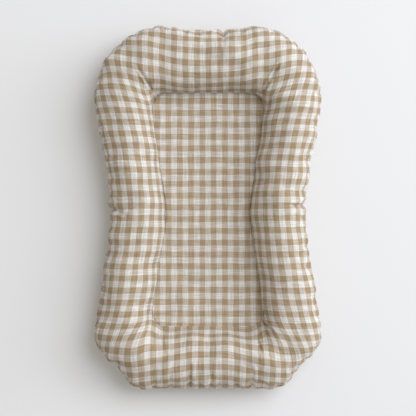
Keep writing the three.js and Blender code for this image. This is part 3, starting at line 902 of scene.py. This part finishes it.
def cutSlot(piece):
    # opens the cover along the zip, on the edges of the slot's own planes
    mesh = bmesh.new()
    mesh.from_mesh(piece.data)
    middle = Vector(zipPlace["middle"]) * mm
    up, out = Vector(zipPlace["upSlope"]), Vector(zipPlace["outward"])
    ends, sides = zipPlace["slotLength"] / 2 * mm, zipPlace["slotWidth"] / 2 * mm

    def inReach(point, extra):
        place = point - middle
        within = abs(place.x) < ends + extra and abs(place.dot(up)) < sides + extra
        return within and abs(place.dot(out)) < zipPlace["cutDepth"] * mm

    spare = zipPlace["cutSpare"] * mm
    for axis, reach in ((Vector((1, 0, 0)), ends), (up, sides)):
        for side in (-1, 1):
            faces = [f for f in mesh.faces if inReach(f.calc_center_median(), spare)]
            edges = {e for f in faces for e in f.edges}
            verts = {v for f in faces for v in f.verts}
            bmesh.ops.bisect_plane(
                mesh,
                geom=[*faces, *edges, *verts],
                dist=1e-7,
                plane_co=middle + axis * side * reach,
                plane_no=axis,
            )
    inside = [f for f in mesh.faces if inReach(f.calc_center_median(), 0)]
    bmesh.ops.delete(mesh, geom=inside, context="FACES")
    mesh.to_mesh(piece.data)
    mesh.free()


calmTop, calmUnder = finer(topGrid), finer(underGrid)
lipRow = 2 * int(np.argmax(topRows[:, 1]))
topFine, topPush = sewn(calmTop, finer(topFromSeam[..., None])[..., 0], True)
underFine, underPush = sewn(calmUnder, finer(underFromSeam[..., None])[..., 0], False)
seamLine = (topFine[-1] + underFine[0]) / 2
topFine[-1] = underFine[0] = seamLine
underFine[..., 2] = np.maximum(underFine[..., 2], 0)
for node, grid, cloth, isTop in (
    ("cover_top_ring", topFine, topCloth, True),
    ("cover_under_ring", underFine, underCloth, False),
):
    points, onCut = grid.reshape(-1, 3), finer(cloth).reshape(-1, 3)
    piece = addPiece(node + "_cloth", points, facing(grid, isTop), shadedRingGingham, onCut)
    if not isTop:
        cutSlot(piece)
    thicken(piece, ring["cover"])
    dress(piece, node)
print("ring made")

panels = {
    "flat": (0.232, 0.482),  # as cut, in metres, before the sag
    "ripple": 0.5,
    "rippleLengths": (31, 47),
    "ripplePhases": (1, 0.4),
    "ditch": 2.8,  # how deep the panel dips beside the bolster's lip
    "ditchAtHead": 0.6,  # share of it
    "ditchAtFoot": 0.15,
    "ditchMiddle": 0.7,
    "ditchReach": 1.1,
    "lipLeast": 1.5,
    "lipSmoothing": 2,  # columns on each side
    "underLip": (0, 0.4),  # rows from the seam to the lip, as shares
    "besideLip": (-0.8, 0, 0.5, 1, 1.6, 2.4, 3.6, 5.5),  # rows near the lip
    "rows": 32,  # from there to the middle
    "hub": 0.97,  # share of the way at which the last row lies
    "facing": 0.5,  # the least share of a ray that heads straight off the bolster
    "layers": [
        # name, node, height at the edge, thickness, how far its edge lies behind the ring's
        # face, and slot
        (
            "cover_centre_panel_cloth",
            "cover_centre_panel",
            ring["panelFace"],
            ring["cover"],
            0.3,
            "gingham_cover",
        ),
        ("casing_sling_top_cloth", "casing_sling_top", 38.2, 0.8, 2.5, "cotton_casing"),
        ("casing_sling_under_cloth", "casing_sling_under", 37.1, 0.8, 2.5, "cotton_casing"),
        ("cover_under_panel_cloth", "cover_under_panel", 36.0, 1.2, 0.3, "gingham_cover"),
    ],
}
spread = panels["lipSmoothing"]
lipPlace = -inwardOf(topFine[:, ::2], inner, outward).min(0)
lipPlace = np.mean([np.roll(lipPlace, shift) for shift in range(-spread, spread + 1)], axis=0)
headFade = 1 - (1 - panels["ditchAtHead"]) * headShare
ditch = panels["ditch"] * (1 - footShare) * headFade + panels["ditchAtFoot"]


def panelGrid(height, depth):
    # rays from the seam to the middle, with close rows where the panel dips beside the lip
    centre = np.array([0, -ring["panelShift"]])
    edge = inner + outward * depth
    ray = centre - edge
    length = np.linalg.norm(ray, axis=1)
    ray /= length[:, None]
    facingIn = np.maximum(panels["facing"], -(outward * ray).sum(1))
    lip = np.maximum((lipPlace + depth) / facingIn, panels["lipLeast"])
    near = [lip * part for part in panels["underLip"]]
    near += [lip + beyond for beyond in panels["besideLip"]]
    start, end = near[-1], panels["hub"] * length
    far = [start + (end - start) * t for t in np.linspace(0, 1, panels["rows"] + 1)[1:]]
    (lengthX, lengthY), (phaseX, phaseY) = panels["rippleLengths"], panels["ripplePhases"]
    rows = []
    for along in near + far:
        share = 1 - along / length
        plan = edge + ray * along[:, None]
        waves = np.sin(plan[:, 0] / lengthX + phaseX) * np.sin(plan[:, 1] / lengthY + phaseY)
        ripple = panels["ripple"] * waves * (1 - share**4)
        drop = ring["sag"] * (1 - share**2) + ripple
        dip = np.exp(-(((along - lip - panels["ditchMiddle"]) / panels["ditchReach"]) ** 2))
        rows.append(np.column_stack([plan, height - drop - ditch * dip]))
    return np.array(rows)


def makePanel(name, node, height, thickness, depth, slot):
    grid = panelGrid(height, depth)
    rows, columns = grid.shape[:2]
    faces = facing(grid, True).tolist()
    turn = 1 if faces == gridFaces(rows, columns).tolist() else -1
    last, hub = (rows - 1) * columns, rows * columns
    faces += [[last + i, last + (i + 1) % columns, hub][::turn] for i in range(columns)]
    points = np.vstack([grid.reshape(-1, 3), grid[-1].mean(0)])
    material = panelGingham if slot == "gingham_cover" else casingCotton
    piece = addPiece(name, points, faces, material, points * [1, 1, 0])
    thicken(piece, thickness)
    dress(piece, node)


for layer in panels["layers"]:
    makePanel(*layer)
print("centre panel and slings made")

stuffing = {
    "casingDepth": 1.7,  # under the cover's face
    "casing": 0.8,
    "fillDepth": 3.0,
    "zipRecess": 2.4,  # how much further in they lie behind the zip
    "skip": 3,  # one point in three of the cover's grid
    "clearance": 4,  # grid points round a fold that the casing keeps under
    "corners": [(197.8, 315), (186.3, -326.1), (-186.3, -326.1), (-197.8, 315)],
    "gap": 0.6,
}


def inset(grid, depth, isTop):
    into = depth + stuffing["zipRecess"] * zipFlat(grid)[0]
    return grid - outerNormal(grid, isTop) * into[..., None]


def deepest(push):
    # the deepest fold near each point, so that what lies under the cover keeps clear of it
    reach = stuffing["clearance"]
    for axis, ends in ((0, "edge"), (1, "wrap")):
        margins = [(reach, reach) if a == axis else (0, 0) for a in (0, 1)]
        padded = np.pad(push, margins, mode=ends)
        push = np.lib.stride_tricks.sliding_window_view(padded, 2 * reach + 1, axis).max(-1)
    return push[:: stuffing["skip"], :: stuffing["skip"]]


coarseTop = calmTop[lipRow :: stuffing["skip"], :: stuffing["skip"]]
coarseUnder = calmUnder[:: stuffing["skip"], :: stuffing["skip"]]
topDeep, underDeep = deepest(topPush[lipRow:]), deepest(underPush)
for node, grid, deep, isTop in (
    ("casing_top_ring", coarseTop, topDeep, True),
    ("casing_under_ring", coarseUnder, underDeep, False),
):
    lining = inset(grid, stuffing["casingDepth"] + deep, isTop)
    points = lining.reshape(-1, 3)
    piece = addPiece(node + "_cloth", points, facing(lining, isTop), casingCotton)
    thicken(piece, stuffing["casing"])
    dress(piece, node)


def tubeFaces(levels, count):
    # between closed outlines of count points, one above the other
    return [
        [a + i, a + (i + 1) % count, a + count + (i + 1) % count, a + count + i]
        for a in range(0, (levels - 1) * count, count)
        for i in range(count)
    ]


def makeBatt(name, node, first, last, top, under):
    columns = np.arange(first, last + 1) % top.shape[1]
    # the rows on the outer seam and the two nearest the inner one are left out
    loop = np.vstack([top[2:-1], under[1:-2]])[:, columns]
    ends = np.linalg.norm(loop[:, 1] - loop[:, 0], axis=1)[:, None]
    loop[:, 0] += (loop[:, 1] - loop[:, 0]) / ends * stuffing["gap"]
    loop[:, -1] += (loop[:, -2] - loop[:, -1]) / ends.mean() * stuffing["gap"]
    count, levels = loop.shape[:2]
    points = loop.transpose(1, 0, 2).reshape(-1, 3)
    firstHub, lastHub = len(points), len(points) + 1
    faces = tubeFaces(levels, count)
    start = (levels - 1) * count
    for i in range(count):
        j = (i + 1) % count
        faces += [[j, i, firstHub], [start + i, start + j, lastHub]]
    points = np.vstack([points, points[:count].mean(0), points[-count:].mean(0)])
    piece = addPiece(name, points, faces, fibreWadding)
    tidyNormals(piece)
    dress(piece, node)


fillTop = inset(coarseTop, stuffing["fillDepth"] + topDeep, True)
fillUnder = inset(coarseUnder, stuffing["fillDepth"] + underDeep, False)
coarseOuter = finer(outer[None].repeat(2, 0))[0][:: stuffing["skip"]]
corners = [
    int(np.argmin(np.hypot(coarseOuter[:, 0] - x, coarseOuter[:, 1] - y)))
    for x, y in stuffing["corners"]
]
for side, first, last in zip(("right", "foot", "left", "head"), corners, corners[1:] + corners[:1]):
    last += len(coarseOuter) if last < first else 0
    makeBatt("fill_" + side + "_batt", "fill_" + side, first, last, fillTop, fillUnder)
print("casing and filling made")

zipParts = {
    "pitch": 4,
    "teeth": 59,
    "tooth": [
        # across from the centre line, from its tip to its root, and half-length along the zip
        (0.62, 0.62),
        (0.9, 0.86),
        (1.24, 0.8),
        (1.57, 0.55),
        (2.05, 0.6),
        (2.6, 0.95),
    ],
    "thick": 1.9,
    "toothEdge": 0.2,  # how far its rounding runs down
    "toothFace": (0.8, 0.92),  # share of its outline left on top, along and across
    "tape": [
        # across from the centre line, height over the zip's middle plane
        (2.95, 0.0),
        (3.4, 0.15),
        (4.2, 0.0),
        (6.5, -0.05),
        (8.6, -0.4),
        (10.2, -1.2),
        (12.6, -1.6),
    ],
    "tapeThickness": 0.6,
    "tapeLength": 251.2,
    "tapeSteps": 64,
}


def fromZip(points):
    return np.asarray(points, float) @ zipAxes + zipMiddle


def closedFaces(levels, count):
    last = (levels - 1) * count
    ends = [[*range(count)][::-1], [*range(last, last + count)]]
    return tubeFaces(levels, count) + ends


def gather(shapes):
    # many shapes as the points and faces of one
    points, faces = [], []
    for shapePoints, shapeFaces in shapes:
        start = len(points)
        points += shapePoints
        faces += [[start + i for i in f] for f in shapeFaces]
    return points, faces


def toothShape(side, x):
    # one moulded tooth: a narrow neck between a rounded head at the tip and a wide root
    half, edge = zipParts["thick"] / 2, zipParts["toothEdge"]
    flank = [(length, across) for across, length in zipParts["tooth"]]
    outline = flank + [(-length, across) for length, across in flank[::-1]]
    middle = (flank[0][1] + flank[-1][1]) / 2
    face, full = zipParts["toothFace"], (1, 1)
    levels = [(-half, face), (edge - half, full), (half - edge, full), (half, face)]
    points = [
        (x + length * alongShare, side * ((across - middle) * acrossShare + middle), z)
        for z, (alongShare, acrossShare) in levels
        for length, across in outline
    ]
    return points, closedFaces(len(levels), len(outline))


def makeTape(side, label):
    half = zipParts["tapeThickness"] / 2
    upper = [(side * across, z + half) for across, z in zipParts["tape"]]
    lower = [(side * across, z - half) for across, z in zipParts["tape"][::-1]]
    end, steps = zipParts["tapeLength"] / 2, zipParts["tapeSteps"]
    points = [(x, *place) for x in np.linspace(-end, end, steps) for place in upper + lower]
    faces = closedFaces(steps, len(upper + lower))
    tape = addPiece("zip_tape_" + label + "_woven", fromZip(points), faces, zipTapeWoven)
    tidyNormals(tape)
    dress(tape, "zip_tape_" + label)


def makeTeeth(side, label):
    # the two rows stand half a pitch apart along the zip
    pitch, middle = zipParts["pitch"], (zipParts["teeth"] - 1) / 2
    places = [(i - middle) * pitch - side * pitch / 4 for i in range(zipParts["teeth"])]
    points, faces = gather([toothShape(side, x) for x in places])
    teeth = addPiece("zip_teeth_" + label + "_moulded", fromZip(points), faces, zipTeethMoulded)
    tidyNormals(teeth)
    teeth.data.shade_flat()
    dress(teeth, "zip_teeth_" + label)


for side, label in ((1, "upper"), (-1, "lower")):
    makeTape(side, label)
    makeTeeth(side, label)

topstitch = {
    "border": (1.5, 1.4),  # how far outside the slot it runs, at the ends and the sides
    "pitch": 3.6,
    "length": 2.7,
    "width": 0.45,
    "steps": (-0.5, -0.3, 0, 0.3, 0.5),
    "endShare": 0.5,  # of the width
    "arch": 0.28,
    "sunk": 0.1,
    "sides": 6,
}


def stitchShape(start, way, middle):
    # one raised stitch on the cover: its middle lies that far from the start, along the way
    (x0, y0), (ux, uy), sides = start, way, topstitch["sides"]
    points = []
    for t in topstitch["steps"]:
        lift = topstitch["arch"] * math.cos(math.pi * t)
        narrow = topstitch["endShare"] if abs(t) == topstitch["steps"][-1] else 1
        radius = topstitch["width"] / 2 * narrow
        along = middle + t * topstitch["length"]
        for turn in np.arange(sides) * 2 * math.pi / sides:
            off, up = radius * math.cos(turn), radius * math.sin(turn)
            z = ring["cover"] / 2 + lift + up - topstitch["sunk"]
            points.append((x0 + ux * along - uy * off, y0 + uy * along + ux * off, z))
    return points, closedFaces(len(topstitch["steps"]), sides)


def stitchRun(path):
    # stitches along a closed path, in the zip's own places
    made = []
    for (x0, y0), (x1, y1) in zip(path, path[1:] + path[:1]):
        run = math.hypot(x1 - x0, y1 - y0)
        way = ((x1 - x0) / run, (y1 - y0) / run)
        number = int(run / topstitch["pitch"])
        made += [stitchShape((x0, y0), way, (n + 0.5) * run / number) for n in range(number)]
    return made


reachX = zipPlace["slotLength"] / 2 + topstitch["border"][0]
reachY = zipPlace["slotWidth"] / 2 + topstitch["border"][1]
border = [(-reachX, -reachY), (reachX, -reachY), (reachX, reachY), (-reachX, reachY)]
stitchPoints, stitchFaces = gather(stitchRun(border))
stitches = addPiece("zip_topstitch_thread", fromZip(stitchPoints), stitchFaces, threadSpun)
tidyNormals(stitches)
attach(stitches, "lounger")

# The CAD's own slider, pull and stops, with the widths of their rounded edges
for node, material, width in (
    ("zip_slider", zipSliderLacquered, 0.22),
    ("zip_pull", zipSliderLacquered, 0.3),
    ("zip_top_stop_upper", zipTeethMoulded, 0.35),
    ("zip_top_stop_lower", zipTeethMoulded, 0.35),
    ("zip_bottom_stop", zipTeethMoulded, 0.4),
):
    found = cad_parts[node]
    found.material_slots[0].material = material
    edge = found.modifiers.new("rounded edges", "BEVEL")
    edge.width = width * mm
    edge.segments = 3
    edge.limit_method = "ANGLE"
print("zip made")
